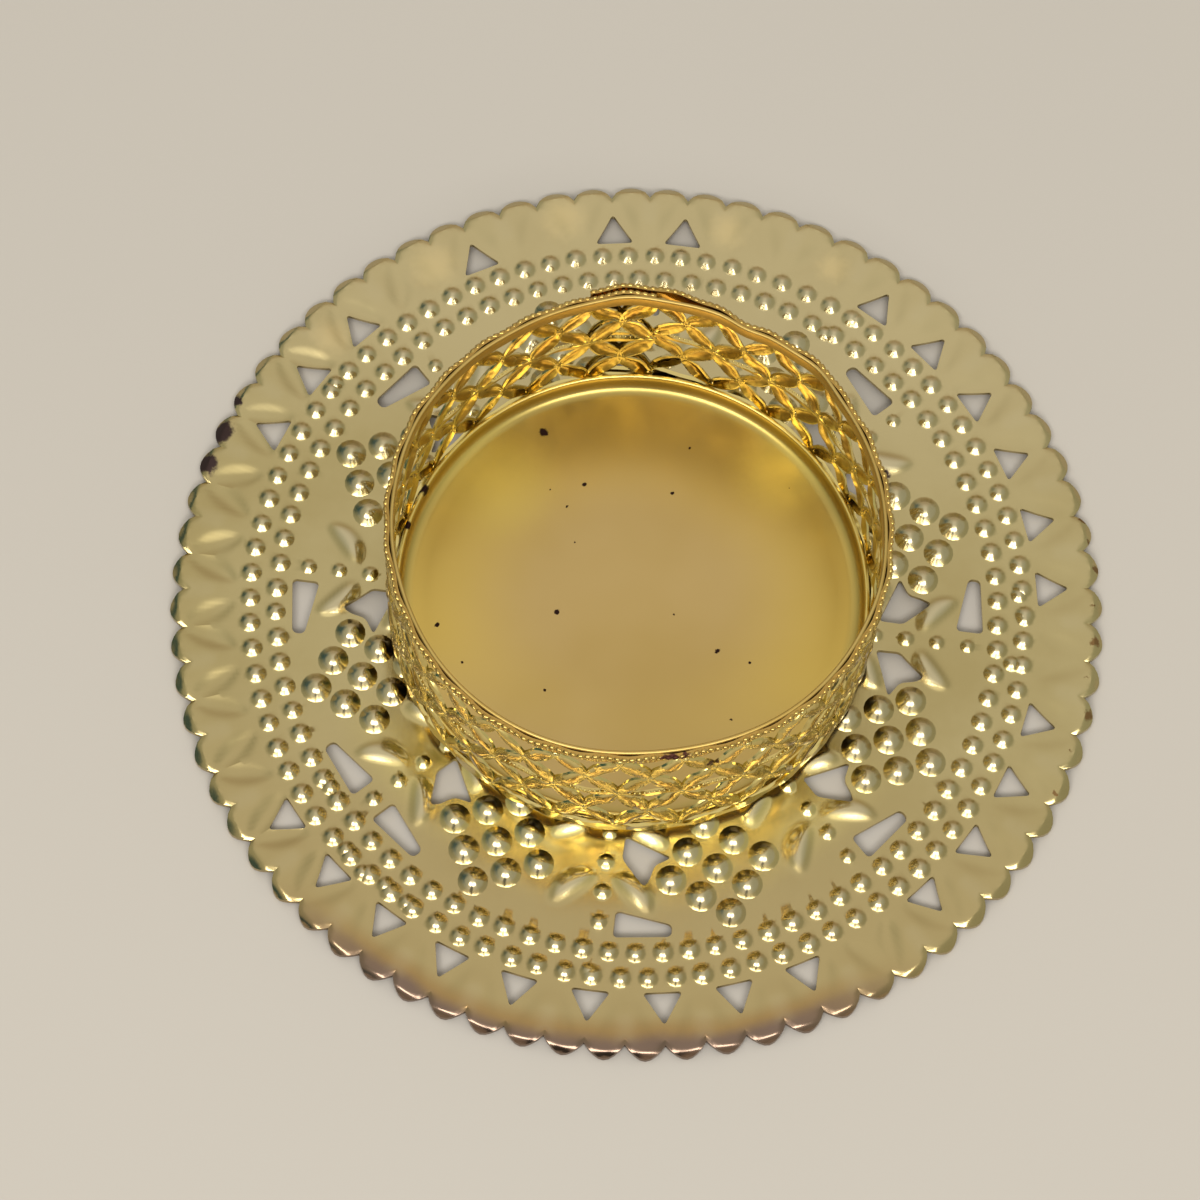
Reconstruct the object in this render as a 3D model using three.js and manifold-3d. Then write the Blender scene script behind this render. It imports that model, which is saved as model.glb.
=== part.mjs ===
// Tealight holder: a pressed and pierced sheet-metal saucer carrying a cup, which is a shallow pan
// with an openwork gallery strip rolled round it and a smooth hoop inside the rim.
// Millimetres, +Z up, origin on the table under the middle of the saucer.
import * as THREE from 'three';
import { mergeVertices } from 'three/addons/utils/BufferGeometryUtils.js';
import Module from 'manifold-3d';

const wasm = await Module();
wasm.setup();

// Saucer sheet and its rolled, scalloped edge
const saucerRadius = 40; // to the tips of the scallops
const saucerSheet = 0.4;
const saucerRise = 1.0; // top of the flat ground above the table
const scallopCount = 72;
const scallopDepth = 1.0; // tip to notch
const edgeRoll = 0.9; // width of the rolled edge, from the tips inwards
const flangeWidth = 5.8; // fluted flange, from the tips inwards
const petalRise = 0.15; // flange petals above the ground
const creaseDepth = 0.1; // creases beside the petals below the ground

// Triangle slots in the flange, points outwards
const slotPlaces = 36;
const unpunchedSlots = [0, 7, 8, 11, 13, 17, 18, 19, 20, 21, 31];
const slotPointInset = 2.9; // from the scallop tips to a slot's point
const slotLength = 2.7;
const slotWidth = 3.15;

// Two rings of beads, placed from the scallop tips inwards
const ringBeadDiameter = 1.75;
const ringBeadHeight = 0.75;
const outerRingInset = 6.85;
const outerRingBeads = 90;
const innerRingInset = 9.1;
const innerRingBeads = 86;

// Eight spokes of small beads, with a lozenge of nine large beads between each two
const spokeCount = 8;
const spokeBeads = 4;
const spokeBeadDiameter = 1.5;
const spokeBeadHeight = 0.6;
const spokeInset = 11.6; // outermost spoke bead
const spokePitch = 2.65;
const lozengeInset = 15.65; // middle bead of the lozenge
const lozengeStep = 2.02; // half a diagonal of its square lattice
const lozengeBeadDiameter = 2.45;
const lozengeBeadHeight = 1.0;

// Tapered slots and kite-shaped holes beside the spokes, as [spoke, side], side 1 anticlockwise
const taperSlots = [[0, 1], [1, 1], [2, 1], [3, 1], [4, 1], [5, 1], [6, 1], [7, 1], [5, -1]];
const kiteHoles = [[0, 1], [1, 1], [2, 1], [3, 1], [4, 1], [5, 1], [6, 1], [7, 1], [0, -1], [1, -1]];
const holeFromSpoke = 1.35; // sideways from the spoke to either kind of hole
const taperInset = 10.4; // outer corner of the wide end
const taperReach = 4.75; // sideways length
const taperWide = 2.3;
const taperNarrow = 1.0;
const taperCorner = 0.3; // cut off each corner
const taperFall = 0.65; // how far the narrow end's outer corner lies inwards of the wide end's
const kiteHeight = 4.2;
const kiteShoulder = 2.2; // from the outer point in to the corner beside the spoke
const kiteBeadMargin = 0.65; // sheet left round the lozenge bead that the hole goes round
const kitePointReach = 0.35; // outer point beyond that margin
const kiteRoundFrom = 265; // degrees about that bead, from the hole's far corner
const kiteRoundTo = 160; // to its outer point

// Pressed leaves in mirrored pairs beside each spoke
const leafHeight = 0.45;
const leafWidth = 1.25;
const leafBow = 0.35;
const outerLeafFootSide = 0.75;
const outerLeafFootInset = 15.8;
const outerLeafTipSide = 4.25;
const outerLeafTipInset = 12.8;
const innerLeafFootSide = 1.75;
const innerLeafFootInset = 20.1;
const innerLeafTipSide = 4.9;
const innerLeafTipInset = 18.8;

// Cup: hoop, pan and solder
const tealightDiameter = 38;
const tealightClearance = 0.6;
const cupShift = -0.6; // the cup is soldered a little to one side of the saucer's middle
const seatGap = 0.25; // cup above the bead tops
const fitGap = 0.2; // between nested pieces of the cup
const hoopWidth = 0.6;
const hoopHeight = 1.5;
const hoopProud = 0.3; // hoop above the band's top edge
const panSheet = 0.4;
const panHeight = 2.2;
const panCorner = 0.7;
const solderDiameter = 11;
const solderGap = 0.2;

// Gallery strip
const bandSheet = 0.4;
const bandHeight = 16.9;
const railHeight = 1.6;
const bandRepeats = 24;
const lapRepeats = 1;
const lapMiddle = 100; // degrees, at the back of the cup
const lapGap = 0.2;
const lapRamp = 20; // degrees over which the outer end leaves the circle
const petalWidth = 1.6;
const nodeWidth = 1.0; // metal where petals meet
const midBarHeight = 0.7;

// Fineness of the faceted shapes
const edgeFacets = 4; // to a scallop
const studFacets = 5;
const domeFacets = 6;
const panFacets = 36;
const hoopFacets = 48;
const solderFacets = 16;
const weldDistance = 1e-4; // corners this close are one corner
const flatTolerance = 1e-3; // facets this close to one plane are merged

// Sizes that follow from these
const hoopInner = tealightDiameter / 2 + tealightClearance;
const bandInner = hoopInner + hoopWidth + fitGap;
const panOuter = bandInner - fitGap;
const cupSeat = saucerRise + lozengeBeadHeight + seatGap;

const paleGilt = new THREE.MeshStandardMaterial({ color: 0xb9a571, roughness: 0.3, metalness: 1 });
const brightGilt = new THREE.MeshStandardMaterial({ color: 0xcf9c2c, roughness: 0.25, metalness: 1 });
const satinGilt = new THREE.MeshStandardMaterial({ color: 0xc79a45, roughness: 0.45, metalness: 1 });
const wireGilt = new THREE.MeshStandardMaterial({ color: 0xc99a35, roughness: 0.3, metalness: 1 });
const tinSolder = new THREE.MeshStandardMaterial({ color: 0x9a9a96, roughness: 0.5, metalness: 1 });

// A closed geometry as a solid that can be joined and cut
function solidOf(geometry) {
  geometry.deleteAttribute('normal');
  geometry.deleteAttribute('uv');
  const merged = mergeVertices(geometry, weldDistance);
  const corners = merged.index.array;
  const kept = [];
  for (let i = 0; i < corners.length; i += 3) {
    const [a, b, c] = corners.slice(i, i + 3);
    if (a !== b && b !== c && c !== a) kept.push(a, b, c);
  }
  const vertProperties = new Float32Array(merged.attributes.position.array);
  const triVerts = new Uint32Array(kept);
  return new wasm.Manifold(new wasm.Mesh({ numProp: 3, vertProperties, triVerts }));
}

function geometryOf(solid) {
  const mesh = solid.getMesh();
  const geometry = new THREE.BufferGeometry();
  geometry.setAttribute('position', new THREE.BufferAttribute(mesh.vertProperties, 3));
  geometry.setIndex(new THREE.BufferAttribute(mesh.triVerts, 1));
  geometry.computeVertexNormals();
  return geometry;
}

// Points [radius, height], from the axis upwards round to the axis or closed, turned about Z
function turned(profile, facets) {
  const points = profile.map(([radius, height]) => new THREE.Vector2(radius, height));
  return new THREE.LatheGeometry(points, facets).rotateX(Math.PI / 2);
}

function polar(radius, angle, height) {
  return new THREE.Vector3(radius * Math.cos(angle), radius * Math.sin(angle), height);
}

function ring(count, radiusAt, heightAt) {
  return Array.from({ length: count }, (_, i) => {
    const angle = (2 * Math.PI * i) / count;
    return polar(radiusAt(angle), angle, heightAt(angle));
  });
}

// Skin between two rings of points, whose counts may differ
function stitch(corners, first, second) {
  let i = 0;
  let j = 0;
  while (i < first.length || j < second.length) {
    const a = first[i % first.length];
    const b = second[j % second.length];
    const firstLags = (i + 1) / first.length <= (j + 1) / second.length;
    if (j === second.length || (i < first.length && firstLags)) {
      i += 1;
      corners.push(a, first[i % first.length], b);
    } else {
      j += 1;
      corners.push(a, second[j % second.length], b);
    }
  }
}

function cap(corners, rim, height, facesUp) {
  const centre = new THREE.Vector3(0, 0, height);
  rim.forEach((point, i) => {
    const next = rim[(i + 1) % rim.length];
    corners.push(centre, facesUp ? point : next, facesUp ? next : point);
  });
}

// Edge of the saucer: tips at the full radius, notches scallopDepth inside it
function edgeRadius(angle) {
  return saucerRadius - scallopDepth * (1 - Math.abs(Math.sin((angle * scallopCount) / 2)));
}

// Flange petals stand up between the slot places, with a crease on each side of every slot
function flangeHeight(angle) {
  const petal = -Math.cos(angle * slotPlaces);
  if (petal < 0) return saucerRise - creaseDepth * (1 + petal);
  return saucerRise - creaseDepth + (petalRise + creaseDepth) * petal;
}

function saucerBlank() {
  const edgePoints = scallopCount * edgeFacets;
  const roof = saucerRise - saucerSheet;
  const rollInset = edgeRoll * (1 - Math.SQRT1_2);
  const rollDrop = saucerRise * (1 - Math.SQRT1_2);
  const shoulderRadius = saucerRadius - edgeRoll - scallopDepth / 2;
  const ground = ring(scallopCount, () => saucerRadius - flangeWidth, () => saucerRise);
  const flange = ring(slotPlaces * 4, () => saucerRadius - slotPointInset, flangeHeight);
  const shoulder = ring(scallopCount, () => shoulderRadius, () => saucerRise);
  const roll = ring(edgePoints / 2, (angle) => edgeRadius(angle) - rollInset, () => saucerRise - rollDrop);
  const foot = ring(edgePoints, edgeRadius, () => 0);
  const footInside = ring(edgePoints / 2, (angle) => edgeRadius(angle) - saucerSheet, () => 0);
  const hollow = ring(scallopCount, () => shoulderRadius - saucerSheet, () => roof);
  const corners = [];
  cap(corners, ground, saucerRise, true);
  stitch(corners, flange, ground);
  stitch(corners, shoulder, flange);
  stitch(corners, roll, shoulder);
  stitch(corners, foot, roll);
  stitch(corners, footInside, foot);
  stitch(corners, hollow, footInside);
  cap(corners, hollow, roof, false);
  return solidOf(new THREE.BufferGeometry().setFromPoints(corners));
}

// Pressed bead on a short skirt that sits in the sheet: a small one is a flat-topped stud, a large
// one is a dome
function stud(diameter, height) {
  const radius = diameter / 2;
  const skirt = saucerSheet / 2;
  return turned([[0, -skirt], [radius, -skirt], [radius, 0], [radius / 2, height], [0, height]], studFacets);
}

function dome(diameter, height) {
  const radius = diameter / 2;
  const skirt = saucerSheet / 2;
  const crown = [radius * Math.SQRT1_2, height * Math.SQRT1_2];
  return turned([[0, -skirt], [radius, -skirt], [radius, 0], crown, [0, height]], domeFacets);
}

function beadAt(geometry, radius, angle) {
  const place = new THREE.Matrix4().makeRotationZ(angle).setPosition(polar(radius, angle, saucerRise));
  return solidOf(geometry.clone().applyMatrix4(place));
}

function ringOfBeads(count, inset, firstAngle) {
  const small = stud(ringBeadDiameter, ringBeadHeight);
  const step = (2 * Math.PI) / count;
  return Array.from({ length: count }, (_, i) => beadAt(small, saucerRadius - inset, firstAngle + step * i));
}

function spokeOfBeads(spokeAngle) {
  const small = stud(spokeBeadDiameter, spokeBeadHeight);
  const first = saucerRadius - spokeInset;
  return Array.from({ length: spokeBeads }, (_, i) => beadAt(small, first - spokePitch * i, spokeAngle));
}

// Place of a lozenge bead: x sideways and y outwards from the lozenge's own spoke-wise axis
function lozengePlace(row, column) {
  const outwards = saucerRadius - lozengeInset + lozengeStep * (row + column);
  return new THREE.Vector2(lozengeStep * (row - column), outwards);
}

function lozengeOfBeads(axisAngle) {
  const large = dome(lozengeBeadDiameter, lozengeBeadHeight);
  const beads = [];
  for (const row of [-1, 0, 1]) {
    for (const column of [-1, 0, 1]) {
      const place = lozengePlace(row, column);
      beads.push(beadAt(large, place.length(), axisAngle + Math.atan2(place.x, place.y)));
    }
  }
  return beads;
}

// Pressed leaf from foot to tip, a pointed ridge that bows away from the spoke
function leaf(foot, tip, side, spokeAngle) {
  const ridge = new THREE.SphereGeometry(1, 4, 4);
  const length = foot.distanceTo(tip);
  ridge.scale(leafWidth / 2, length / 2, leafHeight);
  const points = ridge.attributes.position;
  for (let i = 0; i < points.count; i += 1) {
    const along = (2 * points.getY(i)) / length;
    points.setX(i, points.getX(i) + leafBow * (1 - along * along));
    points.setZ(i, Math.max(points.getZ(i), -saucerSheet / 2));
  }
  const lean = Math.atan2(tip.x - foot.x, tip.y - foot.y);
  ridge.rotateZ(-lean);
  ridge.translate((foot.x + tip.x) / 2, (foot.y + tip.y) / 2, saucerRise);
  const solid = solidOf(ridge);
  const sided = side < 0 ? solid : solid.mirror([1, 0, 0]);
  return sided.rotate([0, 0, THREE.MathUtils.radToDeg(spokeAngle) - 90]);
}

function leaves(spokeAngle) {
  const place = (side, inset) => new THREE.Vector2(side, saucerRadius - inset);
  const pairs = [
    [place(outerLeafFootSide, outerLeafFootInset), place(outerLeafTipSide, outerLeafTipInset)],
    [place(innerLeafFootSide, innerLeafFootInset), place(innerLeafTipSide, innerLeafTipInset)],
  ];
  return pairs.flatMap(([foot, tip]) => [-1, 1].map((side) => leaf(foot, tip, side, spokeAngle)));
}

// Each corner of an outline cut back to two points
function blunted(corners) {
  return corners.flatMap((corner, i) => {
    const before = corners.at(i - 1).clone().sub(corner).setLength(taperCorner);
    const after = corners[(i + 1) % corners.length].clone().sub(corner).setLength(taperCorner);
    return [corner.clone().add(before), corner.clone().add(after)];
  });
}

// Outline with y outwards, punched right through the saucer where y points along the angle
function punch(outline, angle) {
  const depth = saucerRise + leafHeight;
  const prism = new THREE.ExtrudeGeometry(new THREE.Shape(outline), { depth, bevelEnabled: false });
  return solidOf(prism.rotateZ(angle - Math.PI / 2));
}

function triangleOutline() {
  const point = saucerRadius - slotPointInset;
  return [
    new THREE.Vector2(0, point),
    new THREE.Vector2(-slotWidth / 2, point - slotLength),
    new THREE.Vector2(slotWidth / 2, point - slotLength),
  ];
}

function taperOutline() {
  const near = holeFromSpoke;
  const far = holeFromSpoke + taperReach;
  const outer = saucerRadius - taperInset;
  return blunted([
    new THREE.Vector2(near, outer),
    new THREE.Vector2(near, outer - taperWide),
    new THREE.Vector2(far, outer - taperFall - taperNarrow),
    new THREE.Vector2(far, outer - taperFall),
  ]);
}

// The kite's far side goes round the nearest bead of the lozenge, from its far corner to its point
function kiteOutline() {
  const beadPlace = lozengePlace(-1, 1).rotateAround(new THREE.Vector2(), -Math.PI / spokeCount);
  const clear = lozengeBeadDiameter / 2 + kiteBeadMargin;
  const aroundBead = (degrees, reach) => {
    const angle = THREE.MathUtils.degToRad(degrees);
    return new THREE.Vector2(Math.cos(angle), Math.sin(angle)).multiplyScalar(reach).add(beadPlace);
  };
  const point = aroundBead(kiteRoundTo, clear + kitePointReach);
  return [
    point,
    new THREE.Vector2(holeFromSpoke, point.y - kiteShoulder),
    new THREE.Vector2(holeFromSpoke, point.y - kiteHeight),
    aroundBead(kiteRoundFrom, clear),
    aroundBead((kiteRoundFrom + kiteRoundTo) / 2, clear),
    aroundBead(kiteRoundTo, clear),
  ];
}

// Holes are drawn on the clockwise side of a spoke and mirrored for the anticlockwise side
function besideSpoke(outline, side) {
  if (side < 0) return outline;
  return outline.map((point) => new THREE.Vector2(-point.x, point.y)).reverse();
}

function saucer() {
  const spokeTurn = (2 * Math.PI) / spokeCount;
  const pressed = [
    ...ringOfBeads(outerRingBeads, outerRingInset, Math.PI / outerRingBeads),
    ...ringOfBeads(innerRingBeads, innerRingInset, 0),
  ];
  for (let spoke = 0; spoke < spokeCount; spoke += 1) {
    pressed.push(...spokeOfBeads(spoke * spokeTurn));
    pressed.push(...lozengeOfBeads((spoke + 0.5) * spokeTurn));
    pressed.push(...leaves(spoke * spokeTurn));
  }
  const punches = [];
  for (let place = 0; place < slotPlaces; place += 1) {
    const angle = (2 * Math.PI * place) / slotPlaces;
    if (!unpunchedSlots.includes(place)) punches.push(punch(triangleOutline(), angle));
  }
  for (const [spoke, side] of taperSlots) {
    punches.push(punch(besideSpoke(taperOutline(), side), spoke * spokeTurn));
  }
  for (const [spoke, side] of kiteHoles) {
    punches.push(punch(besideSpoke(kiteOutline(), side), spoke * spokeTurn));
  }
  const embossed = pressed.reduce((solid, form) => solid.add(form), saucerBlank());
  const pierced = punches.reduce((solid, hole) => solid.subtract(hole), embossed);
  return geometryOf(pierced.simplify(flatTolerance));
}

// Shallow pan with a rounded corner, drawn outside first and back along the inside
function pan() {
  const inner = panOuter - panSheet;
  const floor = cupSeat + panSheet;
  const innerCorner = panCorner - panSheet;
  const chamfer = 1 - Math.SQRT1_2;
  return turned([
    [0, cupSeat],
    [panOuter - panCorner, cupSeat],
    [panOuter - panCorner * chamfer, cupSeat + panCorner * chamfer],
    [panOuter, cupSeat + panCorner],
    [panOuter, cupSeat + panHeight],
    [inner, cupSeat + panHeight],
    [inner, floor + innerCorner],
    [inner - innerCorner, floor],
    [0, floor],
  ], panFacets);
}

function hoop() {
  const top = cupSeat + bandHeight + hoopProud;
  const bottom = top - hoopHeight;
  const outer = hoopInner + hoopWidth;
  const crown = hoopWidth / 4;
  return turned([
    [hoopInner, bottom],
    [outer, bottom],
    [outer, top - crown],
    [hoopInner + hoopWidth / 2, top],
    [hoopInner, top - crown],
    [hoopInner, bottom],
  ], hoopFacets);
}

function solderPad() {
  const bottom = saucerRise + solderGap;
  const top = cupSeat - solderGap;
  const radius = solderDiameter / 2;
  return turned([[0, bottom], [radius, bottom], [radius - (top - bottom) / 2, top], [0, top]], solderFacets);
}

// One repeat of the gallery strip laid flat, x along the strip and y up. Petals run from nodes on
// the repeat's two edges to nodes on its middle line, row by row between the two rails.
function repeatShape(pitch) {
  const half = pitch / 2;
  const row = (bandHeight - 2 * railHeight) / 4;
  const rows = [0, 1, 2, 3, 4].map((i) => railHeight + row * i);
  const node = nodeWidth / 2;
  const bar = midBarHeight / 2;
  const length = Math.hypot(half, row);
  const bulge = new THREE.Vector2(row, half).multiplyScalar(petalWidth / 2 / length);
  const middle = new THREE.Vector2(half / 2, row / 2);
  const point = (x, y) => new THREE.Vector2(x, y);

  // Openings on the repeat's edges, half of each in this repeat
  const edgeOpening = (low) => [
    point(half, rows[low] + node),
    point(middle.x + bulge.x, rows[low] + middle.y + bulge.y),
    point(node, rows[low + 1]),
    point(middle.x + bulge.x, rows[low + 2] - middle.y - bulge.y),
    point(half, rows[low + 2] - node),
  ];
  const right = [...edgeOpening(0), ...edgeOpening(2)];
  const left = right.map((p) => point(-p.x, p.y)).reverse();
  const outline = [
    point(-half, 0), point(0, 0), point(half, 0), ...right,
    point(half, bandHeight), point(0, bandHeight), point(-half, bandHeight), ...left,
  ];
  const shape = new THREE.Shape(outline);

  // Three-cornered openings on the middle line, each with its flat side on a rail or on the bar
  const threeCorner = (flatY, tipRow) => {
    const up = Math.sign(rows[tipRow] - flatY);
    const side = point(middle.x - bulge.x, rows[tipRow] - up * (middle.y + bulge.y));
    const base = half - nodeWidth;
    return [
      point(0, rows[tipRow] - up * node),
      side,
      point(base, flatY),
      point(-base, flatY),
      point(-side.x, side.y),
    ];
  };
  const openings = [
    threeCorner(rows[0], 1),
    threeCorner(rows[2] - bar, 1),
    threeCorner(rows[2] + bar, 3),
    threeCorner(rows[4], 3),
  ];
  shape.holes = openings.map((points) => new THREE.Path(points));
  return shape;
}

// Inner radius of the rolled strip, which leaves the circle so that its end laps its start
function stripRadius(angle, lapStart) {
  const ramp = THREE.MathUtils.degToRad(lapRamp);
  return bandInner + (bandSheet + lapGap) * THREE.MathUtils.smoothstep(angle, lapStart - ramp, lapStart);
}

function galleryBand() {
  const turn = (2 * Math.PI) / bandRepeats;
  const pitch = turn * bandInner;
  const start = THREE.MathUtils.degToRad(lapMiddle) - (lapRepeats * turn) / 2;
  const count = bandRepeats + lapRepeats;
  const flat = new THREE.ExtrudeGeometry(repeatShape(pitch), { depth: bandSheet, bevelEnabled: false });
  const source = flat.attributes.position;
  const corners = [];
  for (let repeat = 0; repeat < count; repeat += 1) {
    for (let i = 0; i < source.count; i += 3) {
      const triangle = [0, 1, 2].map((k) => new THREE.Vector3().fromBufferAttribute(source, i + k));
      const onSide = (sign) => triangle.every((p) => Math.abs(p.x - (sign * pitch) / 2) < weldDistance);
      // Repeats share their side faces, so only the two ends of the strip keep them
      if (onSide(1) && repeat < count - 1) continue;
      if (onSide(-1) && repeat > 0) continue;
      for (const p of triangle) {
        const angle = start + (repeat + 0.5 + p.x / pitch) * turn;
        const radius = stripRadius(angle, start + 2 * Math.PI) + p.z;
        corners.push(polar(radius, angle, cupSeat + p.y));
      }
    }
  }
  const geometry = mergeVertices(new THREE.BufferGeometry().setFromPoints(corners), weldDistance);
  geometry.computeVertexNormals();
  return geometry;
}

function piece(name, geometry, material) {
  const mesh = new THREE.Mesh(geometry, material);
  mesh.name = name;
  return mesh;
}

const cup = new THREE.Group();
cup.position.x = cupShift;
cup.add(
  piece('cup_pan', pan(), satinGilt),
  piece('filigree_band', galleryBand(), brightGilt),
  piece('rim_hoop', hoop(), wireGilt),
  piece('solder_pad', solderPad(), tinSolder),
);

const holder = new THREE.Group();
holder.add(piece('base_plate', saucer(), paleGilt), cup);

export default holder;
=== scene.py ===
import math

import bpy
from mathutils import Matrix, Vector


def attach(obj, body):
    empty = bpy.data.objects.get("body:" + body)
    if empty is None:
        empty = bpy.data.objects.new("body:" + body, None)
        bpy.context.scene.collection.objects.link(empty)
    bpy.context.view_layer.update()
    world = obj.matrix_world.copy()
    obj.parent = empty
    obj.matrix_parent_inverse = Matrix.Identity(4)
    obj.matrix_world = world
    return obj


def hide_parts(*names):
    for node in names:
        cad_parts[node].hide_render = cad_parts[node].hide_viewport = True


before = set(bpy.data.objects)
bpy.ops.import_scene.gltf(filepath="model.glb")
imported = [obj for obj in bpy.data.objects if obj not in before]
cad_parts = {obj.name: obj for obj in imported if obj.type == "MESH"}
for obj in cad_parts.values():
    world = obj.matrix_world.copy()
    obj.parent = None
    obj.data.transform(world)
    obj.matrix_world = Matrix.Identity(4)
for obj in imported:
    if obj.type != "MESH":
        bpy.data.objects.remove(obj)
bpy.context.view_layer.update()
mm = 0.001
print("frame loaded:", sorted(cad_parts))


# small hands used by every piece
def clearSelection():
    if bpy.context.object and bpy.context.object.mode != "OBJECT":
        bpy.ops.object.mode_set(mode="OBJECT")
    bpy.ops.object.select_all(action="DESELECT")


def takeUp(obj):
    clearSelection()
    obj.select_set(True)
    bpy.context.view_layer.objects.active = obj
    return obj


def openMesh(obj):
    takeUp(obj)
    bpy.ops.object.mode_set(mode="EDIT")
    bpy.ops.mesh.select_all(action="SELECT")


def closeMesh():
    bpy.ops.object.mode_set(mode="OBJECT")


def named(name):
    obj = bpy.context.object
    obj.name = name
    obj.data.name = name
    return obj


def applyPlace(obj):
    takeUp(obj)
    bpy.ops.object.transform_apply(location=True, rotation=True, scale=True)
    return obj


def modify(obj, kind, **settings):
    takeUp(obj)
    modifier = obj.modifiers.new(kind.lower(), kind)
    for key, value in settings.items():
        setattr(modifier, key, value)
    bpy.ops.object.modifier_apply(modifier=modifier.name)
    return obj


def joined(name, parts):
    takeUp(parts[0])
    for part in parts:
        part.select_set(True)
    bpy.ops.object.join()
    return named(name)


def copyOf(obj, matrix):
    twin = obj.copy()
    twin.data = obj.data.copy()
    bpy.context.scene.collection.objects.link(twin)
    twin.data.transform(matrix)
    return twin


def discard(*objs):
    for obj in objs:
        mesh = obj.data
        bpy.data.objects.remove(obj)
        bpy.data.meshes.remove(mesh)


def mended(obj, gap=1e-6):
    openMesh(obj)
    bpy.ops.mesh.remove_doubles(threshold=gap)
    bpy.ops.mesh.normals_make_consistent(inside=False)
    closeMesh()
    return obj


# vertices and faces put into one fixed order, so that every run gives the same mesh
def settled(obj):
    mesh = obj.data
    order = sorted(range(len(mesh.vertices)), key=lambda i: mesh.vertices[i].co[:])
    points = [mesh.vertices[i].co[:] for i in order]
    rank = {old: new for new, old in enumerate(order)}
    faces = []
    for face in mesh.polygons:
        loop = [rank[i] for i in face.vertices]
        first = loop.index(min(loop))
        faces.append(loop[first:] + loop[:first])
    mesh.clear_geometry()
    mesh.from_pydata(points, [], sorted(faces))
    return obj


def smoothed(obj, degrees):
    takeUp(obj)
    bpy.ops.object.shade_smooth_by_angle(angle=math.radians(degrees))
    return obj


# a line of points drawn by extruding one vertex, then spun about the upright axis
def spun(name, profile, steps):
    clearSelection()
    bpy.ops.mesh.primitive_plane_add(size=mm, location=(0, 0, 0))
    obj = named(name)
    openMesh(obj)
    bpy.ops.mesh.merge(type="CENTER")
    bpy.ops.transform.translate(value=(profile[0][0] * mm, 0, profile[0][1] * mm))
    for before, after in zip(profile, profile[1:]):
        step = ((after[0] - before[0]) * mm, 0, (after[1] - before[1]) * mm)
        bpy.ops.mesh.extrude_vertices_move(TRANSFORM_OT_translate={"value": step})
    bpy.ops.mesh.select_all(action="SELECT")
    bpy.ops.mesh.spin(steps=steps, angle=2 * math.pi, center=(0, 0, 0), axis=(0, 0, 1))
    closeMesh()
    return mended(obj)


def polarOf(point):
    return math.hypot(point.x, point.y), math.atan2(point.y, point.x)


def ease(low, high, value):
    t = min(1.0, max(0.0, (value - low) / (high - low)))
    return t * t * (3 - 2 * t)


# small fixed unevenness for the n-th of many, between -0.5 and 0.5
def jig(n):
    return (math.sin(n * 12.9898) * 43758.5453) % 1.0 - 0.5


# saucer: one disc of thin sheet, pressed, pierced and turned down at the edge
saucerSettings = {
    "radius": 40.0, "rise": 1.0, "sheet": 0.34, "sharpAbove": 29,
    "around": 576,                            # vertices round the disc, eight to a scallop
    "edgeWidth": 0.03, "lipFrom": 39.2, "flangeFrom": 34.0, "groundTo": 28.0, "leavesTo": 19.4,
    "lipRings": 5, "flangeRings": 16, "groundRings": 6, "leafRings": 26,
    "underCup": [18.6, 17.0, 12.0, 6.0],      # the rings that the cup hides
    "lipBend": 1.1, "lipRoll": 1.2, "lipFoot": 0.42, "lipEdge": 0.4,
    "scallops": 72, "scallopDepth": 1.12, "scallopFrom": 37.4, "scallopBend": 0.82,
    "notchDrop": 0.2, "notchFrom": 38.6,
    "petals": 36, "petalRise": 0.22, "petalSlope": (34.2, 36.8),
    "creaseDepth": 0.34, "creaseWidth": 1.5, "creaseTaper": (0.7, 0.5),     # of width, of depth
    "creaseOut": (0.0, 39.0), "creaseIn": (2.1, 34.3),
    "frontFade": (-24.0, -34.0), "frontLoss": 0.75,     # where the dents were struck lighter
    "rightFade": (18.0, 33.0), "rightLoss": 0.5,
    "backFade": (18.0, 33.0), "backLoss": 0.65,
}
leafSettings = {
    "spokes": 8, "width": 1.3, "height": 0.46, "bow": 0.5, "ends": 0.75,
    "outer": ((0.75, 24.2), (4.2, 27.2)),     # foot and tip: sideways, outwards
    "inner": ((1.75, 19.9), (4.9, 21.2)),
}


# height of the pressed leaves, a bowed ridge on each side of a spoke
def leafRelief(radius, angle, s):
    turn = 2 * math.pi / s["spokes"]
    off = (angle + turn / 2) % turn - turn / 2
    spot = Vector((abs(radius * math.sin(off)), radius * math.cos(off)))
    height = 0.0
    for foot, tip in (s["outer"], s["inner"]):
        foot, tip = Vector(foot), Vector(tip)
        half = (tip - foot).length / 2
        way = (tip - foot) / (2 * half)
        gap = spot - (foot + tip) / 2
        along = gap.dot(way) / half
        if abs(along) < 1:
            taper = 1 - along * along
            across = gap.x * way.y - gap.y * way.x - s["bow"] * taper
            across /= s["width"] * taper ** 0.5
            if abs(across) < 1:
                ridge = s["height"] * taper ** s["ends"] * (1 - across * across) ** 2
                height = max(height, ridge)
    return height


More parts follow.
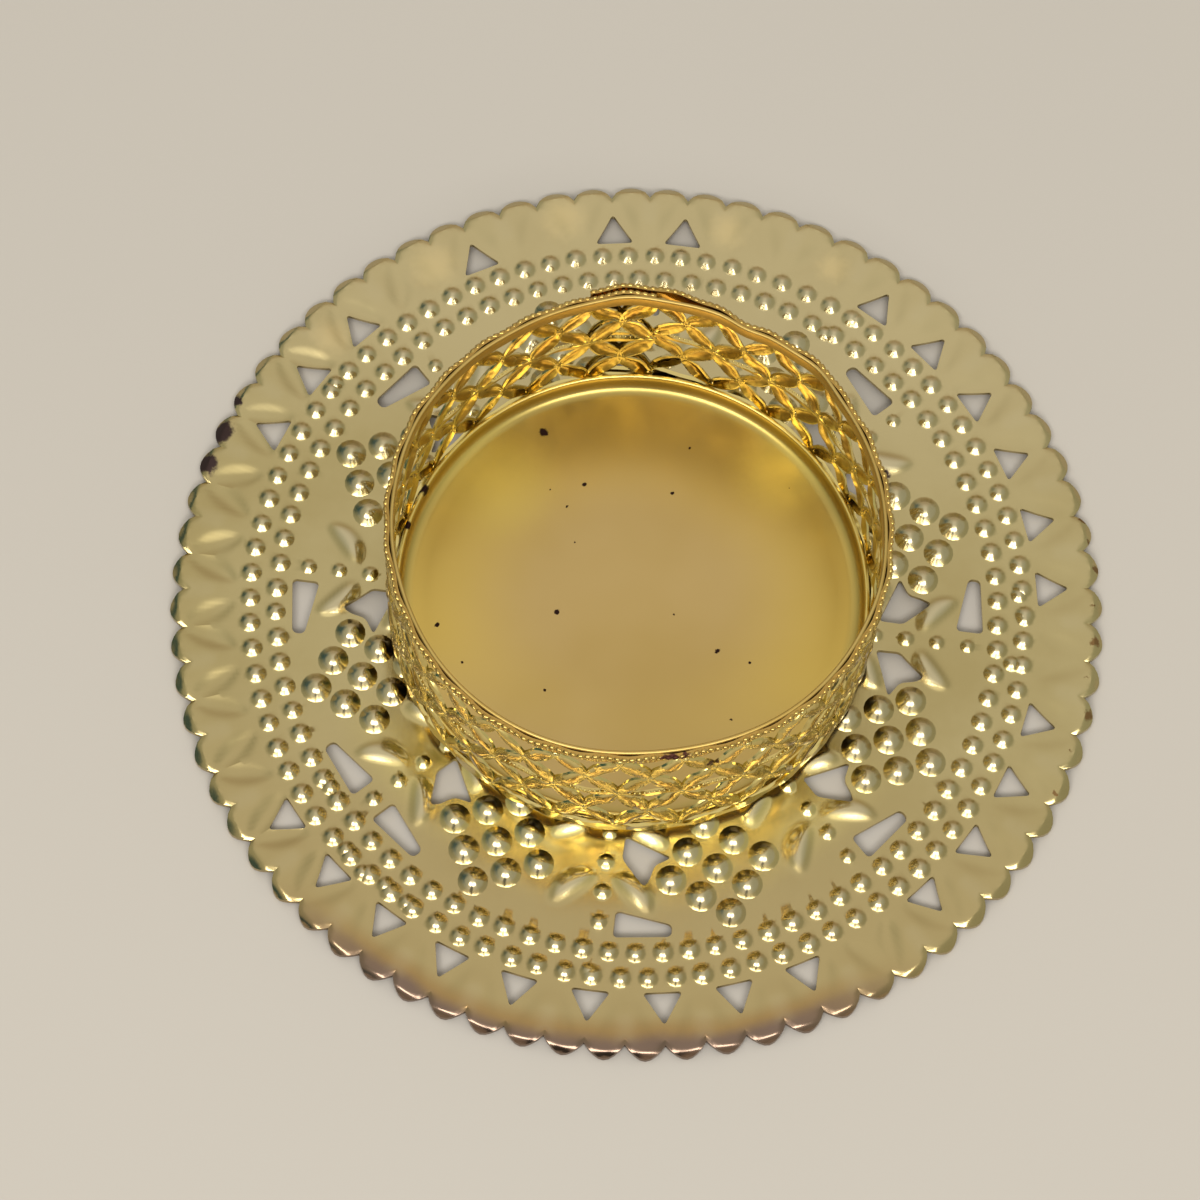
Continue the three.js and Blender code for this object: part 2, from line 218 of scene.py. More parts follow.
# soft dents that run like a gable over each slot
def creaseRelief(side, out, s):
    ax, ay = s["creaseOut"]
    bx, by = s["creaseIn"]
    length = math.hypot(bx - ax, by - ay)
    along = ((side - ax) * (bx - ax) + (out - ay) * (by - ay)) / length ** 2
    across = ((side - ax) * (by - ay) - (out - ay) * (bx - ax)) / length
    if not 0 < along < 1:
        return 0.0
    swell = math.sin(math.pi * along)
    width = s["creaseWidth"] * swell ** s["creaseTaper"][0]
    if abs(across) >= width:
        return 0.0
    depth = -s["creaseDepth"] * swell ** s["creaseTaper"][1]
    return depth * (1 + math.cos(math.pi * across / width)) / 2


# where a point of the flat disc ends up: its distance from the middle and its height
def saucerRelief(radius, angle, s):
    lobe = abs(math.sin(angle * s["scallops"] / 2)) ** s["scallopBend"]
    drawn = radius - (1 - lobe) * s["scallopDepth"] * ease(s["scallopFrom"], s["radius"], radius)
    turn = 2 * math.pi / s["petals"]
    off = (angle + turn / 2) % turn - turn / 2
    pillow = (1 - math.cos(angle * s["petals"])) / 2
    height = s["rise"] + s["petalRise"] * pillow * ease(*s["petalSlope"], drawn)
    front = ease(*s["frontFade"], drawn * math.sin(angle))
    right = ease(*s["rightFade"], drawn * math.cos(angle))
    back = ease(*s["backFade"], drawn * math.sin(angle))
    struck = (1 - s["frontLoss"] * front) * (1 - s["rightLoss"] * right)
    struck *= 1 - s["backLoss"] * back
    height += struck * creaseRelief(abs(drawn * math.sin(off)), drawn * math.cos(off), s)
    height += leafRelief(drawn, angle, leafSettings)
    height -= s["notchDrop"] * (1 - lobe) * ease(s["notchFrom"], s["radius"], radius)
    turned = max(0.0, (drawn - s["lipFrom"]) / (s["radius"] - s["lipFrom"]))
    bend = s["lipBend"] + s["lipRoll"] * front          # rolled rounder at the front
    height -= (height - s["lipFoot"]) * min(1.0, turned) ** bend
    if radius > s["radius"] - s["edgeWidth"] / 2:
        height -= s["lipEdge"]
    return drawn, height


def saucerSheet(s):
    clearSelection()
    bpy.ops.mesh.primitive_circle_add(vertices=s["around"], radius=s["radius"] * mm,
                                      location=(0, 0, s["rise"] * mm))
    sheet = applyPlace(named("saucer"))
    rings = [s["radius"], s["radius"] - s["edgeWidth"]]
    for inner, count in ((s["lipFrom"], s["lipRings"]), (s["flangeFrom"], s["flangeRings"]),
                         (s["groundTo"], s["groundRings"]), (s["leavesTo"], s["leafRings"])):
        outer = rings[-1]
        rings += [outer + (inner - outer) * (i + 1) / count for i in range(count)]
    rings += s["underCup"]
    openMesh(sheet)
    for before, after in zip(rings, rings[1:]):
        k = after / before
        bpy.ops.mesh.extrude_edges_move()
        bpy.ops.transform.resize(value=(k, k, 1))
    bpy.ops.mesh.extrude_edges_move()
    bpy.ops.mesh.merge(type="CENTER")
    bpy.ops.mesh.select_all(action="SELECT")
    bpy.ops.mesh.normals_make_consistent(inside=False)
    closeMesh()
    if sheet.data.polygons[len(sheet.data.polygons) - 1].normal.z < 0:
        openMesh(sheet)
        bpy.ops.mesh.flip_normals()
        closeMesh()
    for vertex in sheet.data.vertices:
        radius, angle = polarOf(vertex.co)
        radius, height = saucerRelief(radius / mm, angle, s)
        vertex.co = (radius * math.cos(angle) * mm, radius * math.sin(angle) * mm, height * mm)
    settled(sheet)
    modify(sheet, "SOLIDIFY", thickness=s["sheet"] * mm, offset=-1)
    for vertex in sheet.data.vertices:
        vertex.co.z = max(vertex.co.z, 0.0)
    return sheet


sheet = saucerSheet(saucerSettings)
print("saucer sheet:", len(sheet.data.polygons), "faces")

beadSettings = {
    "dome": [(0.0, 1.0), (0.16, 0.965), (0.38, 0.815), (0.62, 0.535), (0.86, 0.18)],
    "dimple": [(0.0, 1.0), (0.45, 0.75)],
    "flare": 1.06, "sink": 0.012,             # foot of the bead, where it runs into the sheet
    "domeFoot": -0.2, "dimpleFoot": -0.7,
    "wall": 0.28,                             # metal left round a dimple
    "ring": (0.9, 0.46, 12),                  # radius, height, steps round
    "spoke": (0.7, 0.34, 10), "lozenge": (1.26, 0.74, 16), "dimpleSteps": 6,
    "outerRing": (33.15, 90, 2.0), "innerRing": (30.9, 86, 0.0),     # radius, count, first angle
    "ringDrift": 0.12, "ringSkew": 0.24, "skewDraw": 300, "ringVary": 0.1, "sizeDraw": 600,
    "spokeRows": [28.4, 25.75, 23.1, 20.45], "spokes": 8, "spokeVary": 0.16,
    "lozengeRadius": 24.35, "lozengeStep": 2.02, "lozengeVary": 0.04,
    "struckTwice": [(32.8, 9.2), (33.2, 5.4), (32.3, -2.0), (33.4, -127.0), (33.0, -131.2),
                    (32.9, -123.3), (33.0, -119.2), (32.8, -90.6), (33.2, 61.4), (30.6, 64.2),
                    (30.8, -140.6), (33.3, 148.8)],                  # radius, angle
    "secondSize": 0.86,
}


def beadSolid(kind, s, shrink):
    radius, height, steps = s[kind]
    radius, height = radius - shrink, height - shrink
    outline, foot, wide = s["dome"], s["domeFoot"], radius * s["flare"]
    if shrink:
        outline, foot, wide, steps = s["dimple"], s["dimpleFoot"], radius, s["dimpleSteps"]
    top = [(x * radius, z * height) for x, z in outline]
    return spun(kind, top + [(wide, -s["sink"]), (wide, foot), (0.0, foot)], steps)


# kind, place across, place back and size of every bead
def beadPlaces(s):
    places = []
    for radius, count, first in (s["outerRing"], s["innerRing"]):
        for i in range(count):
            n = len(places)
            out = radius + s["ringDrift"] * jig(n)
            angle = math.radians(first + 360 * i / count + s["ringSkew"] * jig(n + s["skewDraw"]))
            size = 1 + s["ringVary"] * jig(n + s["sizeDraw"])
            places.append(("ring", out * math.cos(angle), out * math.sin(angle), size))
    for spoke in range(s["spokes"]):
        turn = 2 * math.pi * spoke / s["spokes"]
        for out in s["spokeRows"]:
            size = 1 + s["spokeVary"] * jig(len(places))
            places.append(("spoke", out * math.cos(turn), out * math.sin(turn), size))
        turn += math.pi / s["spokes"]
        for row in (-1, 0, 1):
            for column in (-1, 0, 1):
                out = s["lozengeRadius"] + s["lozengeStep"] * (row + column)
                side = s["lozengeStep"] * (row - column)
                x = out * math.cos(turn) - side * math.sin(turn)
                y = out * math.sin(turn) + side * math.cos(turn)
                places.append(("lozenge", x, y, 1 + s["lozengeVary"] * jig(len(places))))
    return places


# beads that the tool hit a second time, a little to one side
def secondStrikes(s):
    places = []
    for radius, angle in s["struckTwice"]:
        turn = math.radians(angle)
        places.append(("ring", radius * math.cos(turn), radius * math.sin(turn), s["secondSize"]))
    return places


# a pattern of beads, as pressed lumps on top or, shrunk, as dimples from below
def beadPattern(s, places, shrink=0.0):
    top = saucerSettings["rise"] * mm
    masters = {kind: beadSolid(kind, s, shrink) for kind in ("ring", "spoke", "lozenge")}
    beads = []
    for kind, x, y, size in places:
        place = Matrix.Translation((x * mm, y * mm, top))
        beads.append(copyOf(masters[kind], place @ Matrix.Diagonal((size, size, size, 1))))
    discard(*masters.values())
    return settled(joined("beads", beads))


punchSettings = {
    "places": 36, "blind": [0, 7, 8, 11, 13, 17, 18, 19, 20, 21, 31],
    "triangle": [(0.0, 37.15), (-1.62, 34.4), (1.62, 34.4)],
    "taper": [(1.35, 29.6), (1.35, 27.3), (6.1, 27.95), (6.1, 28.95)],
    "kite": [(3.35, 24.9), (1.35, 22.7), (1.4, 20.7), (5.35, 22.1), (4.05, 22.95), (3.75, 24.3)],
    "tapers": [(0, 1), (1, 1), (2, 1), (3, 1), (4, 1), (5, 1), (6, 1), (7, 1), (5, -1)],
    "kites": [(0, 1), (1, 1), (2, 1), (3, 1), (4, 1), (5, 1), (6, 1), (7, 1), (0, -1), (1, -1)],
    "round": 0.34, "taperRound": 0.42, "roundSteps": 4,
    "foot": -0.2, "shank": 1.02, "cone": 0.26, "head": 0.5,     # heights of the tool, from below
    "burr": 0.1, "leastWide": 2.0,
}


def punchTool(name, corners, s, rounding):
    clearSelection()
    bpy.ops.mesh.primitive_circle_add(vertices=len(corners), radius=mm, fill_type="NGON")
    tool = named(name)
    for vertex, (x, y) in zip(tool.data.vertices, corners):
        vertex.co = (x * mm, y * mm, s["foot"] * mm)
    openMesh(tool)
    bpy.ops.mesh.bevel(offset=rounding * mm, segments=s["roundSteps"], affect="VERTICES")
    bpy.ops.mesh.select_all(action="SELECT")
    sides = [x for x, y in corners]
    grow = 1 + 2 * s["burr"] / max(max(sides) - min(sides), s["leastWide"])
    for lift, size in ((s["shank"], 1.0), (s["cone"], grow), (s["head"], 1.0)):
        bpy.ops.mesh.extrude_region_move(TRANSFORM_OT_translate={"value": (0, 0, lift * mm)})
        bpy.ops.transform.resize(value=(size, size, 1))
    closeMesh()
    return mended(tool)


def punchSet(s):
    triangle = punchTool("triangleTool", s["triangle"], s, s["round"])
    taper = punchTool("taperTool", s["taper"], s, s["taperRound"])
    kite = punchTool("kiteTool", s["kite"], s, s["round"])
    tools = []
    for place in range(s["places"]):
        if place not in s["blind"]:
            turn = 2 * math.pi * place / s["places"] - math.pi / 2
            tools.append(copyOf(triangle, Matrix.Rotation(turn, 4, "Z")))
    for tool, holes in ((taper, s["tapers"]), (kite, s["kites"])):
        for spoke, side in holes:
            turn = 2 * math.pi * spoke / beadSettings["spokes"] - math.pi / 2
            flip = Matrix.Scale(-1, 4, (1, 0, 0)) if side > 0 else Matrix.Identity(4)
            tools.append(copyOf(tool, Matrix.Rotation(turn, 4, "Z") @ flip))
    discard(triangle, taper, kite)
    return settled(mended(joined("punches", tools)))


beads = beadPattern(beadSettings, beadPlaces(beadSettings))
strikes = beadPattern(beadSettings, secondStrikes(beadSettings))
dimples = beadPattern(beadSettings, beadPlaces(beadSettings), shrink=beadSettings["wall"])
punches = punchSet(punchSettings)
print("saucer tools:", *[len(tool.data.polygons) for tool in (beads, dimples, punches)])
modify(sheet, "BOOLEAN", operation="UNION", object=beads, solver="EXACT")
modify(sheet, "BOOLEAN", operation="UNION", object=strikes, solver="EXACT")
print("saucer embossed:", len(sheet.data.polygons), "faces")
modify(sheet, "BOOLEAN", operation="DIFFERENCE", object=punches, solver="EXACT")
modify(sheet, "BOOLEAN", operation="DIFFERENCE", object=dimples, solver="EXACT")
discard(beads, strikes, dimples, punches)
settled(mended(settled(sheet)))
smoothed(sheet, saucerSettings["sharpAbove"])
modify(sheet, "WEIGHTED_NORMAL", keep_sharp=True, weight=100)
sheet.data.calc_loop_triangles()
print("saucer done:", len(sheet.data.polygons), "faces,",
      len(sheet.data.loop_triangles), "triangles")
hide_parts("base_plate")
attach(sheet, "root")


# cup, set a little to the left of the saucer's middle
cupSettings = {
    "shift": -0.6,
    "bumps": [(50.0, 6.0, 0.34), (70.0, 5.0, -0.36), (99.0, 7.0, 0.3), (128.0, 9.0, -0.12),
              (160.0, 10.0, 0.14), (205.0, 14.0, -0.12), (285.0, 25.0, -0.6),
              (352.0, 10.0, 0.12)],           # angle, spread, out
    "stiffUpTo": 4.5, "freeFrom": 15.0,       # heights between which the hand-bent rim runs out
    "warpsBeyond": 15.0,
}


def cupWarp(angle, height, s):
    degrees = math.degrees(angle) % 360
    out = 0.0
    for place, spread, amount in s["bumps"]:
        off = (degrees - place + 180) % 360 - 180
        out += amount * math.exp(-(off / spread) ** 2)
    return out * ease(s["stiffUpTo"], s["freeFrom"], height)


def settleCup(obj, s):
    for vertex in obj.data.vertices:
        radius, angle = polarOf(vertex.co)
        if radius > s["warpsBeyond"] * mm:
            grown = radius + cupWarp(angle, vertex.co.z / mm, s) * mm
            vertex.co.x *= grown / radius
            vertex.co.y *= grown / radius
    obj.data.transform(Matrix.Translation((s["shift"] * mm, 0, 0)))
    return obj


panSettings = {
    "profile": [(0.0, 2.66), (3.0, 2.66), (6.0, 2.65), (9.0, 2.65), (12.0, 2.65), (15.0, 2.65),
                (17.5, 2.65), (18.7, 2.66), (19.15, 2.72), (19.46, 2.86), (19.66, 3.08),
                (19.77, 3.4), (19.8, 3.8), (19.8, 4.3), (19.86, 4.42), (20.0, 4.46),
                (20.14, 4.42), (20.2, 4.3), (20.2, 3.3), (20.13, 2.86), (19.9, 2.5),
                (19.5, 2.31), (19.0, 2.25), (12.0, 2.25), (0.0, 2.25)],
    "steps": 144, "sharpAbove": 50,
}
pan = settleCup(spun("cupPan", panSettings["profile"], panSettings["steps"]), cupSettings)
smoothed(pan, panSettings["sharpAbove"])
print("pan:", len(pan.data.polygons), "faces")

hoopSettings = {
    "profile": [(20.1, 18.02), (20.1, 19.24), (20.12, 19.35), (20.18, 19.43), (20.27, 19.45),
                (20.37, 19.43), (20.44, 19.36), (20.47, 19.25), (20.46, 18.02), (20.42, 17.96),
                (20.28, 17.95), (20.14, 17.96), (20.1, 18.02)],
    "steps": 192, "sharpAbove": 60,
}
hoop = settleCup(spun("rimHoop", hoopSettings["profile"], hoopSettings["steps"]), cupSettings)
smoothed(hoop, hoopSettings["sharpAbove"])
print("hoop:", len(hoop.data.polygons), "faces")


# gallery strip: modelled flat, x along it, y outwards, z up, then rolled round the pan
bandSettings = {
    "inner": 20.4, "seat": 2.25, "height": 16.9, "rail": 1.6, "repeats": 24, "laps": 1,
    "lapMiddle": 100.0, "lapStep": 0.6, "lapRamp": 20.0, "standOff": 0.15,
    "unevenness": 0.08, "wavesRound": 31, "wavesUp": 1.7, "sharpAbove": 50, "mendGap": 1e-7,
    "petalTip": 0.24, "petalBelly": 0.66, "petalSheet": 0.2, "petalSteps": 7,
    # a petal from its middle line to its border: across, outwards, wear-and-shade brightness
    "petalRows": [(0.0, 0.24, 0.0), (0.48, 0.168, 0.3), (0.8, -0.06, 1.0), (1.0, 0.0, 0.6)],
    "bellyBend": 0.8, "dishBend": 0.6, "tipDish": 0.25, "tipLighten": 1.6,
    # bright: how light each knob, rail and grain is painted, partly wear and partly painted shade;
    # the head rail's -0.5 paints it dark as a pit
    "knob": {"radius": 0.42, "segments": 8, "rings": 5, "flat": 0.55, "out": 0.06, "bright": 0.9},
    "railSheet": 0.34, "railSteps": 8, "flare": 0.12,
    "footRail": {"low": 0.1, "short": 0.3, "rows": 4, "bright": 0.45},
    "headRail": {"short": 0.6, "past": 0.12, "rows": 6, "bright": -0.5},
    "midBar": {"height": 0.4, "rows": 2, "bright": 0.3},
    "rung": {"size": (0.12, 0.16, 0.42), "perRepeat": 13, "down": 0.46, "out": 0.14,
             "flared": 0.6, "bright": 0.7},
    "rope": {"size": (0.36, 0.24, 0.2), "perRepeat": 9, "out": 0.1, "bright": 0.0},
    "bud": {"size": (0.12, 0.12, 0.12), "perRepeat": 13, "off": 0.2, "out": 0.08, "bright": 0.7},
}


# how light a part is painted, partly handling wear and partly painted shade: raised borders fully,
# hollows not at all
def wearAndShade(obj, values):
    marks = obj.data.attributes.new("wearAndShade", "FLOAT", "POINT")
    for mark, value in zip(marks.data, values):
        mark.value = value
    return obj


# dished leaf with a raised border, lying along x
def petalLeaf(length, s):
    clearSelection()
    last = len(s["petalRows"]) - 1
    bpy.ops.mesh.primitive_grid_add(x_subdivisions=s["petalSteps"], y_subdivisions=2 * last, size=2)
    petal = named("petal")
    marks = []
    for vertex in petal.data.vertices:
        along, side = (vertex.co.x + 1) / 2, math.copysign(1, vertex.co.y)
        across, out, bright = s["petalRows"][round(abs(vertex.co.y) * last)]
        belly = math.sin(math.pi * min(1.0, max(0.0, along)))
        half = s["petalTip"] + s["petalBelly"] * belly ** s["bellyBend"]
        dish = out * (s["tipDish"] + (1 - s["tipDish"]) * belly ** s["dishBend"])
        vertex.co = (along * length * mm, dish * mm, side * across * half * mm)
        marks.append(max(bright, 1 - s["tipLighten"] * belly))
    wearAndShade(petal, marks)
    modify(petal, "SOLIDIFY", thickness=s["petalSheet"] * mm, offset=0)
    return mended(petal)


def stripBar(name, low, high, bar, length, s, flare=0.0):
    clearSelection()
    around = (s["repeats"] + s["laps"]) * s["railSteps"]
    bpy.ops.mesh.primitive_grid_add(x_subdivisions=around, y_subdivisions=bar["rows"], size=2)
    rail = named(name)
    for vertex in rail.data.vertices:
        up = (vertex.co.y + 1) / 2
        along = (vertex.co.x + 1) / 2 * length
        vertex.co = (along * mm, flare * up * up * mm, (low + (high - low) * up) * mm)
    wearAndShade(rail, [bar["bright"]] * len(rail.data.vertices))
    modify(rail, "SOLIDIFY", thickness=s["railSheet"] * mm, offset=0)
    return mended(rail)


# one grain of a milled edge, repeated along the strip
def grainRow(name, height, outward, grain, length, cells):
    clearSelection()
    bpy.ops.mesh.primitive_ico_sphere_add(subdivisions=1, radius=mm)
    row = named(name)
    wearAndShade(row, [grain["bright"]] * len(row.data.vertices))
    count = cells * grain["perRepeat"]
    place = Matrix.Translation((length / count / 2 * mm, outward * mm, height * mm))
    row.data.transform(place @ Matrix.Diagonal((*grain["size"], 1)))
    return modify(row, "ARRAY", count=count, use_relative_offset=False, use_constant_offset=True,
                  constant_offset_displace=(length / count * mm, 0, 0))


# four rows of leaning petals with a knob at every crossing, repeated along the strip
def laceStrip(pitch, rise, rows, cells, s):
    parts = []
    petal = petalLeaf(math.hypot(pitch / 2, rise), s)
    tilt = math.atan2(rise, pitch / 2)
    for level, height in enumerate(rows[:-1]):
        fromEdge = level % 2 == 0
        for side in (-1, 1):
            start = (pitch / 2 + (side * pitch / 2 if fromEdge else 0), 0, height)
            lean = -tilt if (side < 0) == fromEdge else tilt - math.pi
            place = Matrix.Translation(Vector(start) * mm) @ Matrix.Rotation(lean, 4, "Y")
            parts.append(copyOf(petal, place))
    k = s["knob"]
    for level, height in enumerate(rows):
        clearSelection()
        bpy.ops.mesh.primitive_uv_sphere_add(segments=k["segments"], ring_count=k["rings"],
                                             radius=k["radius"] * mm)
        knob = named("knob")
        wearAndShade(knob, [k["bright"]] * len(knob.data.vertices))
        place = Matrix.Translation((level % 2 / 2 * pitch * mm, k["out"] * mm, height * mm))
        knob.data.transform(place @ Matrix.Diagonal((1, k["flat"], 1, 1)))
        parts.append(knob)
    discard(petal)
    return modify(joined("lace", parts), "ARRAY", count=cells, use_relative_offset=False,
                  use_constant_offset=True, constant_offset_displace=(pitch * mm, 0, 0))


def galleryStrip(s):
    cells = s["repeats"] + s["laps"]
    pitch = 2 * math.pi * s["inner"] / s["repeats"]
    length = pitch * cells
    top = s["height"]
    row = (top - 2 * s["rail"]) / 4
    rows = [s["rail"] + row * i for i in range(5)]
    middle = rows[2]
    foot, head, bar = s["footRail"], s["headRail"], s["midBar"]
    rung, rope, bud = s["rung"], s["rope"], s["bud"]
    strip = [
        laceStrip(pitch, row, rows, cells, s),
        stripBar("footRail", foot["low"], s["rail"] - foot["short"], foot, length, s),
        stripBar("headRail", top - s["rail"] + head["short"], top + head["past"], head, length, s,
                 s["flare"]),
        stripBar("midBar", middle - bar["height"] / 2, middle + bar["height"] / 2, bar, length, s),
        grainRow("headRungs", top - rung["down"], s["flare"] * rung["flared"] + rung["out"], rung,
                 length, cells),
        grainRow("headRope", top, s["flare"] + rope["out"], rope, length, cells),
        grainRow("midBudsHigh", middle + bud["off"], bud["out"], bud, length, cells),
        grainRow("midBudsLow", middle - bud["off"], bud["out"], bud, length, cells),
    ]
    band = joined("galleryStrip", strip)
    turn = 2 * math.pi / s["repeats"]
    start = math.radians(s["lapMiddle"]) - s["laps"] * turn / 2
    slope = math.radians(s["lapRamp"])
    for vertex in band.data.vertices:
        angle = vertex.co.x / mm / pitch * turn
        wave = math.sin(angle * s["wavesRound"] + vertex.co.z / mm * s["wavesUp"])
        out = s["inner"] + s["standOff"] + vertex.co.y / mm + s["unevenness"] * wave
        out += s["lapStep"] * ease(2 * math.pi - slope, 2 * math.pi, angle)
        vertex.co = (out * math.cos(start + angle) * mm, out * math.sin(start + angle) * mm,
                     vertex.co.z + s["seat"] * mm)
    return band


band = mended(settleCup(galleryStrip(bandSettings), cupSettings), bandSettings["mendGap"])
smoothed(band, bandSettings["sharpAbove"])
print("gallery strip:", len(band.data.polygons), "faces")

for piece, cadNode, slot in ((pan, "cup_pan", "pan_gilt"), (hoop, "rim_hoop", "hoop_gilt"),
                             (band, "filigree_band", "band_gilt")):
    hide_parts(cadNode)
    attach(piece, "root")


# finishes
def node(tree, kind, x, y, **values):
    made = tree.nodes.new(kind)
    made.location = (x, y)
    for key, value in values.items():
        if key in made.inputs:
            made.inputs[key].default_value = value
        else:
            setattr(made, key, value)
    return made


def wire(tree, source, target):
    tree.links.new(source, target)


def ramp(tree, x, y, source, low, high, fromValue=0.0, toValue=1.0):
    made = node(tree, "ShaderNodeMapRange", x, y, interpolation_type="SMOOTHSTEP")
    made.inputs["From Min"].default_value = low
    made.inputs["From Max"].default_value = high
    made.inputs["To Min"].default_value = fromValue
    made.inputs["To Max"].default_value = toValue
    wire(tree, source, made.inputs["Value"])
    return made.outputs["Result"]


def sums(tree, x, y, operation, first, second):
    made = node(tree, "ShaderNodeMath", x, y, operation=operation)
    for socket, value in zip(made.inputs, (first, second)):
        if isinstance(value, (int, float)):
            socket.default_value = value
        else:
            wire(tree, value, socket)
    return made.outputs[0]


def blendColour(tree, x, y, factor, first, second):
    made = node(tree, "ShaderNodeMix", x, y, data_type="RGBA")
    factorIn, firstIn, secondIn = made.inputs[0], made.inputs[6], made.inputs[7]
    for socket, value in ((factorIn, factor), (firstIn, first), (secondIn, second)):
        if isinstance(value, (int, float)):
            socket.default_value = value
        elif isinstance(value, tuple):
            socket.default_value = (*value, 1.0)
        else:
            wire(tree, value, socket)
    return made.outputs[2]


# handling marks that every gilt surface has: cloudy tone, fine grain, hair scratches, soft swell
handlingSettings = {
    "cloudRoughness": 0.6, "cloudEdge": (0.32, 0.7),
    "grainDetail": 3.0, "grainRoughness": 0.65, "swellDetail": 1.0,
    "hairTurns": (0.5, 2.1), "hairStretch": (5200, 45, 300), "hairEdge": (0.66, 0.74),
}


def handlingGroup(s):
    group = bpy.data.node_groups.new("handlingMarks", "ShaderNodeTree")
    for name in ("Cloud Scale", "Cloud Detail", "Grain Scale", "Swell Scale"):
        group.interface.new_socket(name, in_out="INPUT", socket_type="NodeSocketFloat")
    for name in ("Cloud", "Grain", "Scratch", "Swell"):
        group.interface.new_socket(name, in_out="OUTPUT", socket_type="NodeSocketFloat")
    gate = node(group, "NodeGroupInput", -900, 0)
    out = node(group, "NodeGroupOutput", 500, 0)
    place = node(group, "ShaderNodeTexCoord", -900, -200).outputs["Object"]
    cloud = node(group, "ShaderNodeTexNoise", -500, 200, Roughness=s["cloudRoughness"])
    wire(group, gate.outputs["Cloud Detail"], cloud.inputs["Detail"])
    wire(group, gate.outputs["Cloud Scale"], cloud.inputs["Scale"])
    grain = node(group, "ShaderNodeTexNoise", -500, -50, Detail=s["grainDetail"],
                 Roughness=s["grainRoughness"])
    wire(group, gate.outputs["Grain Scale"], grain.inputs["Scale"])
    swell = node(group, "ShaderNodeTexNoise", -500, 420, Detail=s["swellDetail"])
    wire(group, gate.outputs["Swell Scale"], swell.inputs["Scale"])
    for noise in (cloud, grain, swell):
        wire(group, place, noise.inputs["Vector"])
    lines = None
    for i, turn in enumerate(s["hairTurns"]):
        y = -300 - 220 * i
        stretch = node(group, "ShaderNodeMapping", -700, y)
        stretch.inputs["Rotation"].default_value = (0, 0, turn)
        stretch.inputs["Scale"].default_value = s["hairStretch"]
        wire(group, place, stretch.inputs["Vector"])
        hair = node(group, "ShaderNodeTexNoise", -500, y, Scale=1.0, Detail=0.0)
        wire(group, stretch.outputs["Vector"], hair.inputs["Vector"])
        thin = ramp(group, -250, y, hair.outputs["Fac"], *s["hairEdge"])
        lines = thin if lines is None else sums(group, 0, -400, "MAXIMUM", lines, thin)
    tone = ramp(group, 200, 200, cloud.outputs["Fac"], *s["cloudEdge"])
    wire(group, tone, out.inputs["Cloud"])
    wire(group, grain.outputs["Fac"], out.inputs["Grain"])
    wire(group, lines, out.inputs["Scratch"])
    wire(group, swell.outputs["Fac"], out.inputs["Swell"])
    return group


handling = handlingGroup(handlingSettings)

giltSettings = {
    "cloudDetail": 5.0,
    "spotCore": 0.7, "spotRim": 1.15, "reflectionCore": 0.1,            # shares of a mark's size
    "markRough": 0.6,
    "cloudShift": 0.35, "hollowEdge": (0.05, 0.75), "pitEdge": (-0.4, 0.0),
    "swellDepth": 0.5, "grainDepth": 0.02,
}


# distance from an upright axis
def axisDistance(tree, x, y, place, centre):
    flat = node(tree, "ShaderNodeVectorMath", x, y, operation="MULTIPLY")
    flat.inputs[1].default_value = (1, 1, 0)
    wire(tree, place, flat.inputs[0])
    far = node(tree, "ShaderNodeVectorMath", x + 160, y, operation="DISTANCE")
    far.inputs[1].default_value = (centre[0] * mm, centre[1] * mm, 0)
    wire(tree, flat.outputs[0], far.inputs[0])
    return far.outputs["Value"]


# one mask for many round marks, each given as a place and a size
def spots(tree, x, y, place, marks, wobble, core):
    total = None
    for i, (px, py, pz, size) in enumerate(marks):
        row = y - 60 * i
        away = node(tree, "ShaderNodeVectorMath", x + 160, row, operation="DISTANCE")
        away.inputs[1].default_value = (px * mm, py * mm, pz * mm)
        wire(tree, place, away.inputs[0])
        far = sums(tree, x + 340, row, "ADD", away.outputs["Value"], wobble)
        rim = size * giltSettings["spotRim"] * mm
        mark = ramp(tree, x + 500, row, far, size * core * mm, rim, 1.0, 0.0)
        total = mark if total is None else sums(tree, x + 660, row, "MAXIMUM", total, mark)
    return total


# rings and regions of changed colour, some only towards the front or the back: tarnish, painted
# reflection, painted light and painted shade, as noted in each finish; and bead tops painted paler
def paintStainsAndLight(tree, place, cloud, s, colour, rough):
    drift = sums(tree, -1050, -600, "SUBTRACT", cloud, 0.5)
    drift = sums(tree, -900, -600, "MULTIPLY", drift, s["tintDrift"] * mm)
    far = axisDistance(tree, -1100, -700, place, s["tintCentre"])
    far = sums(tree, -700, -700, "ADD", far, drift)
    parted = node(tree, "ShaderNodeSeparateXYZ", -900, -850)
    wire(tree, place, parted.inputs[0])
    for i, tint in enumerate(s["stainsAndPaintedLight"]):
        y = -700 - 300 * i
        mask = ramp(tree, -500, y, far, tint["from"] * mm, tint["to"] * mm)
        if "frontFrom" in tint:
            front = ramp(tree, -500, y - 150, parted.outputs["Y"],
                         tint["frontFrom"] * mm, tint["frontTo"] * mm)
            mask = sums(tree, -300, y - 50, "MULTIPLY", mask, front)
        mask = sums(tree, -150, y - 50, "MULTIPLY", mask, tint["amount"])
        colour = blendColour(tree, 0, 200 - 100 * i, mask, colour, tint["colour"])
        if "rough" in tint:
            extra = sums(tree, 0, y - 50, "MULTIPLY", mask, tint["rough"])
            rough = sums(tree, 150, y - 50, "ADD", rough, extra)
    # bead and leaf tops painted paler: partly wear, partly painted highlight
    if "crests" in s:
        crest = s["crests"]
        mask = ramp(tree, -500, -3000, parted.outputs["Z"], crest["from"] * mm, crest["to"] * mm)
        mask = sums(tree, -300, -3000, "MULTIPLY", mask, crest["amount"])
        colour = blendColour(tree, 50, -300, mask, colour, crest["colour"])
    return colour, rough
